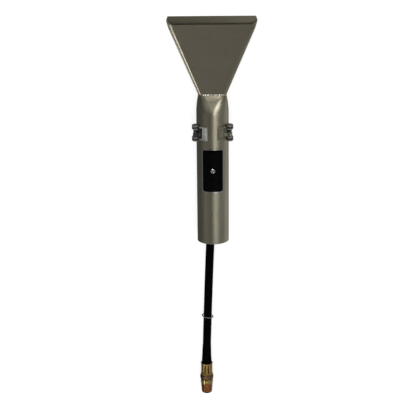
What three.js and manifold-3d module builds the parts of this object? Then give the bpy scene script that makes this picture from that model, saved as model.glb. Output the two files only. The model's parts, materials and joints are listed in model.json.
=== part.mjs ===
// A hand-held spray-extraction tool for upholstery: a flat flared suction head welded to a round steel
// tube, with a thumb rocker and a spray valve in the tube, two side latches and a solution hose.
// It lies on its back: +Z is the thumb side, +Y points to the mouth, and Z = 0 is the surface under it.
// Lengths are millimetres. Stations are distances along +Y from the open end of the tube, and heights
// above the tube's centre line are called rise.
import * as THREE from "three";
import { mergeVertices } from "three/addons/utils/BufferGeometryUtils.js";
import Module from "manifold-3d";

const GAP = 0.3; // left between pieces that touch on the real tool
const WALL = 1.5; // steel sheet and tube wall

// Round tube, 1.5 inch
const TUBE_R = 19.05;
const BORE_R = TUBE_R - WALL;
const SHOULDER = 22; // length over which the tube is pressed to the head's section
const SEAM = 179; // station of the weld between tube and head
const WELD_GAP = 0.8; // half the space that the weld fills
const WELD_HALF = 0.5;
const WELD_PROUD = 0.35;

// Head: a trapezoid in plan and a thin wedge from the side
const NECK = { halfWidth: 16.3, top: 27, corner: 7 };
const FLARE = { slope: 0.458, straightTo: 250, rounding: 0.0105 }; // how the sides spread, and ease off again
const MOUTH_STATION = 262.3; // where the head is widest
const FRONT_EDGE = { station: 257.7, top: 7.5 };
const LIP = { station: 266.8, halfWidth: 51.2 };
const FOLD = { neckReach: 3.9, mouthReach: 6.3, drop: 5 }; // the rounded side edges, across and down
const CHEEK_FOOT = 264.8; // station where the slanted cheek meets the rear plate
const TOOL_LENGTH = LIP.station;

// Thumb rocker and its frame
const ROCKER = { station: 91.1, halfLength: 24.1, halfWidth: 11.6, corner: 2.4 };
const ROCKER_OUT_R = 19.9;
const ROCKER_IN_R = 17;
const ROCKER_ARC = 50; // degrees either side of the top that hold the rocker and its frame
const END_GAP = 1.2; // the rocker's ends swing forward by 1 mm when it is pressed
const SIDE_GAP = 0.3;
const BEZEL = { width: 0.9, inR: 17.3, outR: 19.65 };
const RIB = { first: 10.4, pitch: 6.1, count: 3, width: 1.7, proud: 0.45, arc: 29 };
const PAD_SEAT = { radius: 4.4, floor: 18.6, bossHalf: 5.5 }; // the recess round the pad's screw
const PAD_SCREW = { shankR: 1.4, end: 11.4, headR: 3, under: 18.9, rim: 19.7, topR: 2.3, top: 20.4 };
const SOCKET = { pad: 1.25, valve: 1, depth: 1.5 }; // the hexagon sockets of the screws
const PIVOT_RISE = 7.5;
const PIN_R = 1.5;
const PIN_HOLE_R = 1.8;
const LEVER = { halfWidth: 5, back: 12.5, front: 17.5, low: 11, high: 14.5, screwR: 1.7 };
const LEVER_NOSE = { halfWidth: 2.6, length: 5 };
const EAR = { inner: 2.9, half: 3.5, low: 5.5 };

// Spray valve: heights from the tube's axis, lengths from the rocker's pivot
const VALVE = { halfWidth: 8, back: 16, front: 22, low: -9, high: 4.8, postHalf: 2.5, footHalf: 4.5 };
const FLOW_RISE = -4;
const FLOW_R = 2;
const PLUNGER_AHEAD = 15;
const PLUNGER_TOP = 8.3;
const STEM = { radius: 2.2, neckR: 1.2, grooveR: 1.45, low: -6.3, capR: 3.6, capLow: 7 };
const STEM_BORE = { radius: 2.6, low: -8.3 };
const SPRING_WELL = { radius: 4.3, floor: 1 };
const VALVE_SPRING = { radius: 3.3, wire: 0.4, low: 1.7, high: 6.3, turns: 3.5 };
const SEAL = { radius: 1.98, wire: 0.4, rise: 0.6 };
const VALVE_SCREWS = { rear: -11, front: 9 };
const VALVE_SCREW = { headR: 3.2, sink: 0.3, shankR: 1.5, end: 8.8 };
const SCREW_HOLE = { headR: 3.6, shankR: 1.9, end: 9.4 };

// Pipework
const NIPPLE = { across: 11, collar: 3, stubR: 4, length: 8 };
const INLET_NUT = { across: 14, length: 9, boreR: 4.3, floor: 3.5 };
const INLET_FERRULE = { radius: 6.6, rimR: 6.2, floor: 3 };
const OUTLET_NUT = { across: 11, length: 8 };
const FEED_R = 3;
const MANIFOLD = { halfLength: 22, station: 203, half: 4, height: 9.5, bore: 1.6, jetBore: 2.2 };
const JET = { x: 14, across: 6.6, hexTo: 3.8, threadR: 1.9, thread: 3, boreR: 0.8 };
const JET_SLOT = { half: 0.4, from: 6.6 };
const JET_TIP = { from: 3.5, radius: 2.9, shoulder: 6, noseR: 2, length: 7.5 };
const SADDLE_HALF = 7;

// Side latches
const LATCH = { low: 126.2, high: 144.8, x: 20.3, rise: 12.5, pinR: 1.3, pinHoleR: 1.6 };
const LUG = { earR: 3.9, earHeight: 5, tailX: 21.4, tailRise: 4.5, tailR: 2.9 };
const LUG_FOOT = { from: 61, to: 82, thick: 1.4 }; // degrees from the top of the tube
const LATCH_PAD = { low: 127.7, high: 143.6, inR: 19.5, outR: 21.2, from: 17.5, to: 49 };
const LATCH_NECK = { lift: 0.25, rise: 1.1, overlap: 5, to: 57.2 };
const LATCH_RIBS = { first: 18, pitch: 7.4, count: 3, proud: 0.5, degrees: 3.6 };
const KNUCKLE_R = 2.7;
const LATCH_SPRING = { wire: 0.35, length: 2.2, turns: 2.5, room: 3.2 };

// Solution hose, lying free behind the tool
const HOSE_R = 5.2;
const HOSE_SIDES = 12;
const HOSE_STEPS = 24;
const HOSE_FRONT = 46.6;
const FERRULE = { station: -171.9, length: 16, radius: 7.7, x: -9.2, height: 7.95 };
const END_HEX = { across: 14.7, length: 6.6 };
const COLLAR = { radius: 7.9, length: 6.2 };
const NOSE = { radius: 7.4, taper: 0.5, tip: 5.8, tipLength: 3.2, length: 13, bore: 4 };
const RING = { station: -107, radius: 6.9, wire: 0.6, tilt: 9, x: -7.5 };

const SLIVER = 0.004; // the finest detail that a boolean may leave
const BEYOND = 20; // how far a cutting tool reaches past what it cuts
const HIGH = 3 * TUBE_R; // above everything

const wasm = await Module();
wasm.setup();

// --- solids -------------------------------------------------------------------------------------

// A closed geometry as a manifold solid, whichever way round its outline was drawn.
function solid(geometry) {
  const bare = geometry.index ? geometry.toNonIndexed() : geometry.clone();
  bare.deleteAttribute("normal");
  bare.deleteAttribute("uv");
  const merged = mergeVertices(bare, 1e-4);
  const vertProperties = merged.attributes.position.array;
  const triVerts = new Uint32Array(merged.index.array);
  const made = new wasm.Manifold(new wasm.Mesh({ numProp: 3, vertProperties, triVerts }));
  if (made.volume() > 0) return made;
  for (let i = 0; i < triVerts.length; i += 3) {
    [triVerts[i + 1], triVerts[i + 2]] = [triVerts[i + 2], triVerts[i + 1]];
  }
  return new wasm.Manifold(new wasm.Mesh({ numProp: 3, vertProperties, triVerts }));
}

// The surface of a solid, without the slivers that booleans leave.
function geometryOf(made) {
  const mesh = made.simplify(SLIVER).getMesh();
  const geometry = new THREE.BufferGeometry();
  geometry.setAttribute("position", new THREE.BufferAttribute(new Float32Array(mesh.vertProperties), 3));
  geometry.setIndex(new THREE.BufferAttribute(new Uint32Array(mesh.triVerts), 1));
  geometry.computeVertexNormals();
  return geometry;
}

const join = (...solids) => solids.reduce((all, next) => all.add(next));
const cut = (first, ...tools) => tools.reduce((left, tool) => left.subtract(tool), first);

function box([x0, x1], [y0, y1], [z0, z1]) {
  const geometry = new THREE.BoxGeometry(x1 - x0, y1 - y0, z1 - z0);
  geometry.translate((x0 + x1) / 2, (y0 + y1) / 2, (z0 + z1) / 2);
  return solid(geometry);
}

// Turns a geometry made about +Y to run along X, Y or Z, and moves it.
function aim(geometry, along, at) {
  if (along === "x") geometry.rotateZ(-Math.PI / 2);
  if (along === "z") geometry.rotateX(Math.PI / 2);
  return solid(geometry.translate(...at));
}

// A turned piece: [radius, distance] pairs from one end to the other.
function turned(profile, along, at, sides = 32) {
  const points = profile.map(([radius, distance]) => new THREE.Vector2(radius, distance));
  return aim(new THREE.LatheGeometry(points, sides), along, at);
}

const rod = (radius, from, to, along, at, sides = 32) =>
  turned([[0, from], [radius, from], [radius, to], [0, to]], along, at, sides);

// A hexagonal bar along Y, two of its flats facing up and down.
function hexBar(across, from, to, at) {
  const bar = new THREE.CylinderGeometry(across / Math.sqrt(3), across / Math.sqrt(3), to - from, 6);
  bar.rotateY(Math.PI / 6).translate(0, (from + to) / 2, 0);
  return aim(bar, "y", at);
}

const extruded = (shape, depth, curveSegments) =>
  new THREE.ExtrudeGeometry(shape, { depth, bevelEnabled: false, curveSegments });

// An outline drawn in X and Z, extruded along Y.
const alongY = (shape, from, to) =>
  solid(extruded(shape, to - from, 14).rotateX(Math.PI / 2).translate(0, to, 0));

// An outline drawn in X and Y, extruded along Z.
const alongZ = (shape, from, to) => solid(extruded(shape, to - from, 6).translate(0, 0, from));

// A slab that follows the tube: radii, angles in degrees from +Z towards +X, and stations.
function wrap(inR, outR, fromDeg, toDeg, from, to) {
  const start = Math.PI / 2 - THREE.MathUtils.degToRad(toDeg);
  const end = Math.PI / 2 - THREE.MathUtils.degToRad(fromDeg);
  const shape = new THREE.Shape();
  shape.absarc(0, 0, outR, start, end, false);
  shape.absarc(0, 0, inR, end, start, true);
  shape.closePath();
  return alongY(shape, from, to).translate([0, 0, TUBE_R]);
}

function roundedRectangle(halfWidth, y0, y1, radius) {
  const shape = new THREE.Shape();
  shape.moveTo(halfWidth, y0 + radius);
  shape.absarc(halfWidth - radius, y1 - radius, radius, 0, Math.PI / 2, false);
  shape.absarc(radius - halfWidth, y1 - radius, radius, Math.PI / 2, Math.PI, false);
  shape.absarc(radius - halfWidth, y0 + radius, radius, Math.PI, 1.5 * Math.PI, false);
  shape.absarc(halfWidth - radius, y0 + radius, radius, 1.5 * Math.PI, 2 * Math.PI, false);
  return shape;
}

// The outline round two circles, [x, z, radius] each, with straight sides that touch both.
function beltOutline([x0, z0, r0], [x1, z1, r1]) {
  const towards = Math.atan2(z1 - z0, x1 - x0);
  const side = Math.acos((r0 - r1) / Math.hypot(x1 - x0, z1 - z0));
  const shape = new THREE.Shape();
  shape.absarc(x0, z0, r0, towards + side, towards - side + 2 * Math.PI, false);
  shape.absarc(x1, z1, r1, towards - side, towards + side, false);
  shape.closePath();
  return shape;
}

// A solid through closed outlines with the same number of [x, z] points, one at each station.
function loft(outlines) {
  const positions = [];
  const corner = ({ points, station }, i) => [points[i][0], station, points[i][1]];
  for (let k = 0; k + 1 < outlines.length; k++) {
    const [a, b] = [outlines[k], outlines[k + 1]];
    const count = a.points.length;
    for (let i = 0; i < count; i++) {
      const j = (i + 1) % count;
      positions.push(...corner(a, i), ...corner(b, i), ...corner(b, j));
      positions.push(...corner(a, i), ...corner(b, j), ...corner(a, j));
    }
  }
  const cap = (outline, flip) => {
    const flat = outline.points.map(([x, z]) => new THREE.Vector2(x, z));
    for (const [i, j, k] of THREE.ShapeUtils.triangulateShape(flat, [])) {
      const order = flip ? [i, k, j] : [i, j, k];
      order.forEach((index) => positions.push(...corner(outline, index)));
    }
  };
  cap(outlines[0], false);
  cap(outlines[outlines.length - 1], true);
  const geometry = new THREE.BufferGeometry();
  geometry.setAttribute("position", new THREE.Float32BufferAttribute(positions, 3));
  return solid(geometry);
}

// Points of a box section with round corners, anticlockwise from its lower right corner.
function boxSection(halfWidth, bottom, top, radius, perCorner = 20) {
  const centres = [
    [halfWidth - radius, bottom + radius, -Math.PI / 2],
    [halfWidth - radius, top - radius, 0],
    [radius - halfWidth, top - radius, Math.PI / 2],
    [radius - halfWidth, bottom + radius, Math.PI],
  ];
  return centres.flatMap(([x, z, start]) =>
    Array.from({ length: perCorner }, (_, i) => {
      const angle = start + (i / (perCorner - 1)) * (Math.PI / 2) * 0.999;
      return [x + radius * Math.cos(angle), z + radius * Math.sin(angle)];
    }),
  );
}

// A tube along a curve with a round section of few sides.
function pipe(curve, radius, sides, steps) {
  const section = new THREE.Shape();
  for (let i = 0; i < sides; i++) {
    const angle = (i / sides) * 2 * Math.PI;
    const point = [radius * Math.cos(angle), radius * Math.sin(angle)];
    if (i) section.lineTo(...point);
    else section.moveTo(...point);
  }
  section.closePath();
  return solid(new THREE.ExtrudeGeometry(section, { steps, extrudePath: curve, bevelEnabled: false }));
}

class Helix extends THREE.Curve {
  constructor(radius, from, to, turns) {
    super();
    Object.assign(this, { radius, from, to, turns });
  }
  getPoint(t, target = new THREE.Vector3()) {
    const angle = 2 * Math.PI * this.turns * t;
    const along = this.from + (this.to - this.from) * t;
    return target.set(this.radius * Math.cos(angle), along, this.radius * Math.sin(angle));
  }
}

// A wire coil about an axis through the given point, along Y or Z.
function coil(radius, wire, from, to, turns, along, at) {
  const made = pipe(new Helix(radius, from, to, turns), wire, 6, Math.round(turns * 14));
  return along === "z" ? made.rotate([90, 0, 0]).translate(at) : made.translate(at);
}

// --- scene graph --------------------------------------------------------------------------------

const LOOKS = {
  steel: { color: 0x8f8a7c, roughness: 0.38, metalness: 1 },
  polished: { color: 0xc9c9c4, roughness: 0.2, metalness: 1 },
  cast: { color: 0x6f716c, roughness: 0.45, metalness: 1 },
  brass: { color: 0xb5893a, roughness: 0.3, metalness: 1 },
  plastic: { color: 0x121212, roughness: 0.5, metalness: 0 },
  rubber: { color: 0x0c0c0c, roughness: 0.6, metalness: 0 },
};

const tool = new THREE.Group();
tool.name = "spray_extraction_tool";
tool.position.y = -TOOL_LENGTH / 2;

function addPiece(group, name, made, look) {
  const mesh = new THREE.Mesh(geometryOf(made), new THREE.MeshStandardMaterial(LOOKS[look]));
  mesh.name = name;
  group.add(mesh);
}

function section(name) {
  const group = new THREE.Group();
  group.name = name;
  tool.add(group);
  return group;
}

// --- tube and head ------------------------------------------------------------------------------

// The tube's section at a station: round, then eased to the head's box section at the seam.
function tubeOutline(station, inset) {
  const ease = Math.max(0, (station - (SEAM - SHOULDER)) / SHOULDER) ** 2;
  const halfWidth = TUBE_R + (NECK.halfWidth - TUBE_R) * ease;
  const top = 2 * TUBE_R + (NECK.top - 2 * TUBE_R) * ease;
  const radius = TUBE_R + (NECK.corner - TUBE_R) * ease;
  const points = boxSection(halfWidth - inset, inset, top - inset, radius - inset);
  return { station, points };
}

function screwHole(offset) {
  const { headR, shankR, end } = SCREW_HOLE;
  const profile = [[0, -1], [headR, -1], [headR, GAP], [shankR, WALL + 0.2], [shankR, end], [0, end]];
  return turned(profile, "z", [0, ROCKER.station + offset, 0], 24);
}

// A hexagon socket sunk about a point on a screw's end.
const socket = (radius, at) =>
  aim(new THREE.CylinderGeometry(radius, radius, 2 * SOCKET.depth, 6), "z", at);

function bodyTube() {
  const end = SEAM - WELD_GAP;
  const shoulderStart = SEAM - SHOULDER;
  const steps = Array.from({ length: 8 }, (_, i) => shoulderStart + ((end - shoulderStart) * i) / 7);
  const outer = loft([0, ...steps].map((station) => tubeOutline(station, 0)));
  const inner = loft([-1, ...steps, SEAM + 1].map((station) => tubeOutline(station, WALL)));
  const window = alongZ(bezelOutline(GAP), TUBE_R, HIGH);
  return cut(outer, inner, window, screwHole(VALVE_SCREWS.rear), screwHole(VALVE_SCREWS.front));
}

// Half the head's width and the height of its front plate at a station.
const flare = (station) => {
  const past = Math.max(0, station - FLARE.straightTo);
  return NECK.halfWidth + FLARE.slope * (station - SEAM) - FLARE.rounding * past * past;
};
const plateTop = (station) =>
  NECK.top + ((FRONT_EDGE.top - NECK.top) * (station - SEAM)) / (FRONT_EDGE.station - SEAM);

// The stations that the head's curved sides are drawn through.
const SIDE_STATIONS = [SEAM + WELD_GAP, FLARE.straightTo, 253, 255.5, FRONT_EDGE.station, 260, MOUTH_STATION];

function headOutline() {
  const right = SIDE_STATIONS.map((station) => [flare(station), station]);
  right.push([LIP.halfWidth, LIP.station]);
  const left = right.map(([x, y]) => [-x, y]).reverse();
  return new THREE.Shape([...right, ...left].map(([x, y]) => new THREE.Vector2(x, y)));
}

// How far the rounded side edge reaches in across the front at a station.
const foldReach = (station) =>
  FOLD.neckReach + ((FOLD.mouthReach - FOLD.neckReach) * (station - SEAM)) / (MOUTH_STATION - SEAM);

// The folded sheet's section: down both sides and across the front, open towards the rear plate.
function shellSection(station) {
  const steps = 10;
  const drop = Math.min(FOLD.drop, plateTop(station) - 2 * WALL);
  const arch = (inset) => {
    const halfWidth = flare(station) - inset;
    const top = plateTop(station) - inset;
    const across = foldReach(station) - inset;
    const down = drop - inset;
    const arc = Array.from({ length: steps + 1 }, (_, i) => {
      const angle = (i / steps) * (Math.PI / 2);
      return [halfWidth - across * (1 - Math.cos(angle)), top - down * (1 - Math.sin(angle))];
    });
    const right = [[halfWidth, WALL + GAP], ...arc];
    const left = right.map(([x, z]) => [-x, z]).reverse();
    return [...right, ...left];
  };
  return { station, points: [...arch(0), ...arch(WALL).reverse()] };
}

function headFrontShell() {
  const folded = loft([...SIDE_STATIONS, CHEEK_FOOT + 1].map(shellSection));
  // Past the front plate's edge each cheek slants down to the rear plate.
  const slant = new THREE.Shape();
  const beyond = LIP.station + BEYOND;
  slant.moveTo(FRONT_EDGE.station, FRONT_EDGE.top + BEYOND);
  slant.lineTo(FRONT_EDGE.station, FRONT_EDGE.top - WALL);
  slant.lineTo(CHEEK_FOOT, WALL);
  slant.lineTo(beyond, WALL);
  slant.lineTo(beyond, FRONT_EDGE.top + BEYOND);
  const halfSpan = LIP.halfWidth + BEYOND;
  const wedge = new THREE.ExtrudeGeometry(slant, { depth: 2 * halfSpan, bevelEnabled: false });
  wedge.translate(0, 0, -halfSpan);
  wedge.applyMatrix4(new THREE.Matrix4().set(0, 0, 1, 0, 1, 0, 0, 0, 0, 1, 0, 0, 0, 0, 0, 1));
  return cut(folded, solid(wedge)).intersect(alongZ(headOutline(), 0, NECK.top + 1));
}

function headRearPlate() {
  return alongZ(headOutline(), 0, WALL);
}

function neckWeld() {
  const outer = boxSection(NECK.halfWidth + WELD_PROUD, 0, NECK.top + WELD_PROUD, NECK.corner);
  const inner = boxSection(NECK.halfWidth - WALL, WALL, NECK.top - WALL, NECK.corner - WALL);
  const ring = (points, reach) =>
    loft([SEAM - reach, SEAM + reach].map((station) => ({ station, points })));
  return cut(ring(outer, WELD_HALF), ring(inner, WELD_HALF + 1));
}

// --- thumb rocker -------------------------------------------------------------------------------

const windowFrom = ROCKER.station - ROCKER.halfLength - END_GAP;
const windowTo = ROCKER.station + ROCKER.halfLength + END_GAP;
const windowHalf = ROCKER.halfWidth + SIDE_GAP;

function bezelOutline(grow) {
  const reach = BEZEL.width + grow;
  const corner = ROCKER.corner + reach;
  return roundedRectangle(windowHalf + reach, windowFrom - reach, windowTo + reach, corner);
}

function controlBezel() {
  const opening = roundedRectangle(windowHalf, windowFrom, windowTo, ROCKER.corner);
  const reach = 2 * BEZEL.width;
  const band = wrap(BEZEL.inR, BEZEL.outR, -ROCKER_ARC, ROCKER_ARC, windowFrom - reach, windowTo + reach);
  return cut(band.intersect(alongZ(bezelOutline(0), 0, HIGH)), alongZ(opening, 0, HIGH));
}

function thumbPad() {
  const { station, halfLength, halfWidth, corner } = ROCKER;
  const outline = roundedRectangle(halfWidth, station - halfLength, station + halfLength, corner);
  const ribs = [-1, 1].flatMap((side) =>
    Array.from({ length: RIB.count }, (_, i) => {
      const middle = station + side * (RIB.first + i * RIB.pitch);
      const [from, to] = [middle - RIB.width / 2, middle + RIB.width / 2];
      return wrap(ROCKER_IN_R + 1, ROCKER_OUT_R + RIB.proud, -RIB.arc, RIB.arc, from, to);
    }),
  );
  const shell = wrap(ROCKER_IN_R, ROCKER_OUT_R, -ROCKER_ARC, ROCKER_ARC, windowFrom, windowTo);
  const skin = shell.intersect(alongZ(outline, 0, HIGH));
  const { bossHalf, radius, floor } = PAD_SEAT;
  const boss = box(
    [-bossHalf, bossHalf],
    [station - bossHalf, station + bossHalf],
    [TUBE_R + LEVER.high + GAP, TUBE_R + ROCKER_IN_R + GAP],
  );
  const seat = rod(radius, floor, floor + BEYOND, "z", [0, station, TUBE_R], 24);
  const hole = rod(LEVER.screwR + 0.1, LEVER.low, floor + BEYOND, "z", [0, station, TUBE_R], 16);
  return cut(join(skin, boss, ...ribs), seat, hole);
}

function padScrew() {
  const { shankR, end, headR, under, rim, topR, top } = PAD_SCREW;
  const profile = [
    [0, end], [shankR, end], [shankR, under], [headR, under], [headR, rim], [topR, top], [0, top],
  ];
  const body = turned(profile, "z", [0, ROCKER.station, TUBE_R], 24);
  return cut(body, socket(SOCKET.pad, [0, ROCKER.station, TUBE_R + top]));
}

function rockerLever() {
  const { station } = ROCKER;
  const low = TUBE_R + LEVER.low;
  const high = TUBE_R + LEVER.high;
  const { halfWidth, back, front } = LEVER;
  const bar = box([-halfWidth, halfWidth], [station - back, station + front], [low, high]);
  const ears = [[-halfWidth, -EAR.inner], [EAR.inner, halfWidth]].map((across) =>
    box(across, [station - EAR.half, station + EAR.half], [TUBE_R + EAR.low, low + 1]),
  );
  const nose = box(
    [-LEVER_NOSE.halfWidth, LEVER_NOSE.halfWidth],
    [station + front - LEVER_NOSE.length, station + front],
    [TUBE_R + PLUNGER_TOP + GAP, low + 1],
  );
  const pinHole = rod(PIN_HOLE_R, -BEYOND, BEYOND, "x", [0, station, TUBE_R + PIVOT_RISE], 20);
  const screw = rod(LEVER.screwR, EAR.low, BEYOND, "z", [0, station, TUBE_R], 16);
  return cut(join(bar, ...ears, nose), pinHole, screw);
}

function rockerPin() {
  const reach = LEVER.halfWidth + 0.8;
  return rod(PIN_R, -reach, reach, "x", [0, ROCKER.station, TUBE_R + PIVOT_RISE], 20);
}

// --- valve --------------------------------------------------------------------------------------

function valveBody() {
  const { station } = ROCKER;
  const { halfWidth, back, front, low, high, postHalf, footHalf } = VALVE;
  const height = [TUBE_R + low, TUBE_R + high];
  const block = box([-halfWidth, halfWidth], [station - back, station + front], height);
  const post = box(
    [-postHalf, postHalf],
    [station - EAR.half + 0.5, station + EAR.half - 0.5],
    [TUBE_R + high - 1, TUBE_R + PIVOT_RISE + postHalf],
  );
  const feet = Object.values(VALVE_SCREWS).map((offset) => {
    const middle = station + offset;
    return box([-footHalf, footHalf], [middle - footHalf, middle + footHalf], [0, TUBE_R + low + 1]);
  });
  const insideBore = rod(BORE_R - GAP, 0, SEAM, "y", [0, 0, TUBE_R], 56);
  const plungerAt = [0, station + PLUNGER_AHEAD, TUBE_R];
  return cut(
    join(block, post, ...feet).intersect(insideBore),
    rod(PIN_HOLE_R, -BEYOND, BEYOND, "x", [0, station, TUBE_R + PIVOT_RISE], 20),
    rod(FLOW_R, 0, SEAM, "y", [0, 0, TUBE_R + FLOW_RISE], 16),
    rod(STEM_BORE.radius, STEM_BORE.low, BEYOND, "z", plungerAt, 24),
    rod(SPRING_WELL.radius, SPRING_WELL.floor, BEYOND, "z", plungerAt, 24),
    screwHole(VALVE_SCREWS.rear),
    screwHole(VALVE_SCREWS.front),
  );
}

function valvePlunger() {
  const { radius, neckR, grooveR, low, capR, capLow } = STEM;
  // From below: the stem's foot, the neck that lets water past, the seal's groove and the cap.
  const profile = [
    [0, low], [radius, low], [radius, -1.7], [neckR, -1.7], [neckR, -0.4], [radius, -0.4],
    [radius, 0.1], [grooveR, 0.1], [grooveR, 1.1], [radius, 1.1], [radius, capLow], [capR, capLow],
    [capR, PLUNGER_TOP], [0, PLUNGER_TOP],
  ];
  return turned(profile, "z", [0, ROCKER.station + PLUNGER_AHEAD, TUBE_R], 24);
}

function plungerSeal() {
  const torus = new THREE.TorusGeometry(SEAL.radius, SEAL.wire, 8, 24);
  return solid(torus.translate(0, ROCKER.station + PLUNGER_AHEAD, TUBE_R + SEAL.rise));
}

function valveSpring() {
  const { radius, wire, low, high, turns } = VALVE_SPRING;
  return coil(radius, wire, low, high, turns, "z", [0, ROCKER.station + PLUNGER_AHEAD, TUBE_R]);
}

function valveScrew(offset) {
  const { headR, sink, shankR, end } = VALVE_SCREW;
  const profile = [[0, sink], [headR, sink], [shankR, WALL + sink], [shankR, end], [0, end]];
  const body = turned(profile, "z", [0, ROCKER.station + offset, 0], 24);
  return cut(body, socket(SOCKET.valve, [0, ROCKER.station + offset, sink]));
}

// --- pipework -----------------------------------------------------------------------------------

const inletFace = ROCKER.station - VALVE.back;
const outletFace = ROCKER.station + VALVE.front;
const flowAt = [0, 0, TUBE_R + FLOW_RISE];

function inletNipple() {
  const face = inletFace - GAP;
  const collar = hexBar(NIPPLE.across, face - NIPPLE.collar, face, flowAt);
  const stub = rod(NIPPLE.stubR, face - NIPPLE.length, face - 1, "y", flowAt, 24);
  return cut(join(collar, stub), rod(FLOW_R, 0, face + BEYOND, "y", flowAt, 16));
}

function inletNut() {
  const front = inletFace - NIPPLE.collar - 2 * GAP;
  const back = front - INLET_NUT.length;
  return cut(
    hexBar(INLET_NUT.across, back, front, flowAt),
    rod(INLET_NUT.boreR, back + INLET_NUT.floor, front + BEYOND, "y", flowAt, 24),
    rod(FLOW_R + 0.5, back - BEYOND, front, "y", flowAt, 16),
  );
}

function inletFerrule() {
  const { radius, rimR, floor } = INLET_FERRULE;
  const front = inletFace - NIPPLE.collar - INLET_NUT.length - 3 * GAP;
  const back = HOSE_FRONT + GAP;
  const profile = [
    [0, back], [rimR, back], [radius, back + 1], [radius, front - 1], [rimR, front], [0, front],
  ];
  const bore = rod(FLOW_R + 0.5, back + floor, front + BEYOND, "y", flowAt, 16);
  return cut(turned(profile, "y", flowAt, 24), bore);
}

function outletNut() {
  const back = outletFace + GAP;
  const nut = hexBar(OUTLET_NUT.across, back, back + OUTLET_NUT.length, flowAt);
  return cut(nut, rod(FEED_R + GAP, back - BEYOND, back + BEYOND, "y", flowAt, 20));
}

function feedTube() {
  const end = MANIFOLD.station - MANIFOLD.half - GAP;
  const route = [
    [outletFace + 2 * GAP, TUBE_R + FLOW_RISE],
    [132, TUBE_R + FLOW_RISE],
    [150, TUBE_R + FLOW_RISE - 0.6],
    [184, MANIFOLD.height + 0.6],
    [end, MANIFOLD.height],
  ];
  const curve = new THREE.CatmullRomCurve3(route.map(([y, z]) => new THREE.Vector3(0, y, z)));
  return pipe(curve, FEED_R, 12, 24);
}

function sprayManifold() {
  const { halfLength, station, half, height, bore, jetBore } = MANIFOLD;
  const around = (middle) => [middle - half, middle + half];
  const bar = box([-halfLength, halfLength], around(station), around(height));
  const reach = halfLength + BEYOND;
  const across = rod(bore, -reach, reach, "x", [0, station, height], 12);
  const inlet = rod(bore, -BEYOND, 0, "y", [0, station, height], 12);
  const jets = [-JET.x, JET.x].map((x) => rod(jetBore, 0, BEYOND, "y", [x, station, height], 16));
  return cut(bar, across, inlet, ...jets);
}

// A flat-fan jet: a hexagonal tip on a short thread in the manifold, its mouth crossed by a slot.
function sprayJet(x) {
  const { across, hexTo, threadR, thread, boreR } = JET;
  const { from, radius, shoulder, noseR, length } = JET_TIP;
  const { station, half, height } = MANIFOLD;
  const front = station + half;
  const at = [x, front, height];
  const profile = [[0, from], [radius, from], [radius, shoulder], [noseR, length], [0, length]];
  const body = join(
    hexBar(across, GAP, hexTo, at),
    rod(threadR, -thread, 1, "y", at, 16),
    turned(profile, "y", at, 20),
  );
  const slot = box(
    [x - across, x + across],
    [front + JET_SLOT.from, front + BEYOND],
    [height - JET_SLOT.half, height + JET_SLOT.half],
  );
  return cut(body, slot, rod(boreR, -BEYOND, BEYOND, "y", at, 10));
}

function manifoldSaddle() {
  const { station, half, height } = MANIFOLD;
  return box(
    [-SADDLE_HALF, SADDLE_HALF],
    [station - half + 1, station + half - 1],
    [WALL + GAP, height - half - GAP],
  );
}

// --- side latches -------------------------------------------------------------------------------

const latchAxis = (side) => [side * LATCH.x, 0, TUBE_R + LATCH.rise];

// A span of degrees from the top of the tube, on its left (-1) or its right (1).
const onSide = (side, from, to) => [side * from, side * to].sort((a, b) => a - b);

// A welded bracket: an upright ear at each end, joined by a curved foot on the tube.
function latchLug(side) {
  const { low, high, x, rise, pinHoleR } = LATCH;
  const tail = [side * LUG.tailX, TUBE_R + LUG.tailRise, LUG.tailR];
  const eye = [side * x, TUBE_R + rise, LUG.earR];
  const outline = beltOutline(tail, eye);
  const ears = [[low, low + LUG.earHeight], [high - LUG.earHeight, high]].map(([from, to]) =>
    alongY(outline, from, to),
  );
  const footSpan = onSide(side, LUG_FOOT.from, LUG_FOOT.to);
  const foot = wrap(TUBE_R + GAP, TUBE_R + LUG_FOOT.thick, ...footSpan, low, high);
  return cut(
    join(foot, ...ears),
    rod(TUBE_R + GAP, low - BEYOND, high + BEYOND, "y", [0, 0, TUBE_R], 80),
    rod(pinHoleR, low - BEYOND, high + BEYOND, "y", latchAxis(side), 20),
  );
}

function latchPin(side) {
  return rod(LATCH.pinR, LATCH.low + 0.4, LATCH.high - 0.4, "y", latchAxis(side), 20);
}

// The swinging arm: a knuckle on the pin, a low neck and a ribbed finger pad round the tube.
function latchArm(side) {
  const knuckle = {
    from: LATCH.low + LUG.earHeight + GAP,
    to: LATCH.high - LUG.earHeight - GAP - LATCH_SPRING.room,
  };
  const { low, high, inR, outR, from, to } = LATCH_PAD;
  const { lift, rise, overlap } = LATCH_NECK;
  const pad = wrap(inR, outR, ...onSide(side, from, to), low, high);
  const neckSpan = onSide(side, to - overlap, LATCH_NECK.to);
  const neck = wrap(inR + lift, outR + rise, ...neckSpan, knuckle.from + 0.1, knuckle.to - 0.1);
  const ribs = Array.from({ length: LATCH_RIBS.count }, (_, i) => {
    const start = LATCH_RIBS.first + i * LATCH_RIBS.pitch;
    const degrees = onSide(side, start, start + LATCH_RIBS.degrees);
    return wrap(inR + 1, outR + LATCH_RIBS.proud, ...degrees, low + 0.6, high - 0.6);
  });
  const barrel = rod(KNUCKLE_R, knuckle.from, knuckle.to, "y", latchAxis(side), 24);
  const hole = rod(LATCH.pinHoleR, low - BEYOND, high + BEYOND, "y", latchAxis(side), 20);
  return cut(join(pad, neck, barrel, ...ribs), hole);
}

function latchSpring(side) {
  const { wire, length, turns } = LATCH_SPRING;
  const to = LATCH.high - LUG.earHeight - 2 * wire;
  return coil(LATCH.pinHoleR + 0.5, wire, to - length, to, turns, "y", latchAxis(side));
}

// --- solution hose ------------------------------------------------------------------------------

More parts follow.
